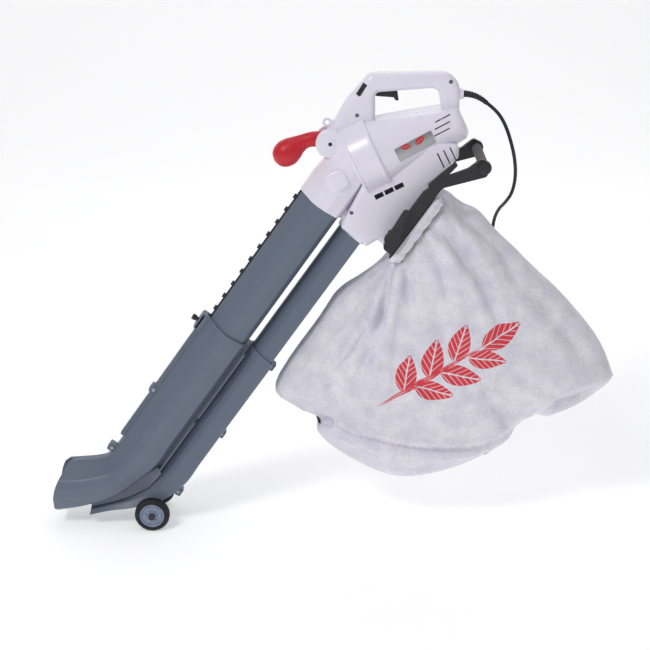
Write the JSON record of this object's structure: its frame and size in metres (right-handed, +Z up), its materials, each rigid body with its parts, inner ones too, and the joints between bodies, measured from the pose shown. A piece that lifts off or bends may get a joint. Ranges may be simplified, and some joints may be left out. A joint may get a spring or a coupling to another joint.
{
  "type": "leaf blower",
  "caption": "Hand-held electric leaf blower and vacuum with twin telescopic ducts, nozzle on wheels, motor casing, tilting front handle and catch bag.",
  "frame": {"origin": "centre of the main hand grip", "axes": "+X from the nozzle towards the rear, +Y away from the trigger-lever side, +Z up; the ducts slope down to the nozzle at 55 degrees"},
  "size_m": [1.151, 0.223, 0.9363],
  "materials": {
    "white_casing": "moulded white ABS",
    "grey_duct": "moulded blue-grey polypropylene",
    "black_plastic": "moulded black nylon",
    "silver_badge": "satin foil plate, blank",
    "steel": "zinc-plated steel",
    "copper": "copper segments",
    "carbon": "carbon",
    "fan_plastic": "glass-filled nylon",
    "red_handle": "moulded red plastic",
    "tyre": "black rubber",
    "grey_hub": "moulded blue-grey plastic",
    "grip_rubber": "grey-brown foam rubber",
    "bag_fabric": "pale grey non-woven polyester",
    "black_rubber": "black rubber sheath"
  },
  "bodies": {
    "root": {"handle_casing_near": "white_casing", "handle_casing_far": "white_casing", "collector_casing_near": "white_casing", "collector_casing_far": "white_casing", "upper_suction_duct": "grey_duct", "upper_blow_duct": "grey_duct", "latch_rack": "black_plastic", "badge_plate": "silver_badge", "motor_stator": "steel", "front_bearing": "steel", "rear_bearing": "steel", "brush_holder": "black_plastic", "carbon_brushes": "carbon", "trigger_pin": "steel", "trigger_spring": "steel", "switch_module": "black_plastic", "selector_tray": "black_plastic", "pivot_bolt": "steel", "pivot_nut": "steel", "lever_bushes": "black_plastic", "casing_screws": "steel", "cord_gland": "white_casing", "cord_boot": "black_rubber", "power_cord": "black_rubber", "plug_body": "black_rubber", "plug_pins": "steel"},
    "rotor": {"motor_shaft": "steel", "fan_impeller": "fan_plastic", "fan_nut": "steel", "motor_armature": "steel", "motor_commutator": "copper"},
    "trigger": {"trigger": "black_plastic"},
    "selector": {"selector_slider": "black_plastic"},
    "front_handle": {"front_handle": "red_handle"},
    "mode_lever": {"mode_lever": "black_plastic", "lever_shaft": "black_plastic", "mode_flap": "black_plastic"},
    "lower_ducts": {"lower_duct_near": "grey_duct", "lower_duct_far": "grey_duct", "duct_screws": "steel", "wheel_axle": "steel", "axle_caps": "black_plastic"},
    "duct_latch": {"latch_knob": "black_plastic"},
    "near_wheel": {"tyre_near": "tyre", "wheel_hub_near": "grey_hub"},
    "far_wheel": {"tyre_far": "tyre", "wheel_hub_far": "grey_hub"},
    "bag": {"bag_frame": "black_plastic", "grip_sleeve": "grip_rubber", "grip_bolt": "steel", "catch_bag": "bag_fabric"}
  },
  "joints": [
    {"name": "fan_spin", "type": "hinge", "parent": "root", "child": "rotor", "pos_m": [-0.099, 0, -0.156], "axis": [0.8988, 0, 0.4384], "continuous": true},
    {"name": "trigger_press", "type": "hinge", "parent": "root", "child": "trigger", "pos_m": [-0.06, 0, -0.014], "axis": [0, -1, 0], "range_deg": [0, 8], "stiffness_Nm_per_rad": 0.6, "springref_deg": -8.59},
    {"name": "selector_slide", "type": "slide", "parent": "root", "child": "selector", "axis": [0.5446, 0, 0.8387], "range_m": [0, 0.012]},
    {"name": "front_handle_tilt", "type": "hinge", "parent": "root", "child": "front_handle", "pos_m": [-0.147, 0, -0.116], "axis": [0, 1, 0], "range_deg": [-15, 25]},
    {"name": "mode_lever_turn", "type": "hinge", "parent": "root", "child": "mode_lever", "pos_m": [-0.02871, 0, -0.28509], "axis": [0, -1, 0], "range_deg": [0, 60]},
    {"name": "duct_telescope", "type": "slide", "parent": "root", "child": "lower_ducts", "axis": [0.5736, 0, 0.8192], "range_m": [0, 0.185]},
    {"name": "latch_pull", "type": "slide", "parent": "lower_ducts", "child": "duct_latch", "axis": [-0.8192, 0, 0.5736], "range_m": [0, 0.005], "stiffness_N_per_m": 300, "springref_m": -0.004},
    {"name": "near_wheel_spin", "type": "hinge", "parent": "lower_ducts", "child": "near_wheel", "pos_m": [-0.511, -0.06, -0.882], "axis": [0, 1, 0], "continuous": true},
    {"name": "far_wheel_spin", "type": "hinge", "parent": "lower_ducts", "child": "far_wheel", "pos_m": [-0.511, 0.06, -0.882], "axis": [0, 1, 0], "continuous": true},
    {"name": "bag_release", "type": "slide", "parent": "root", "child": "bag", "axis": [0.8192, 0, -0.5736], "range_m": [0, 0.05]}
  ]
}
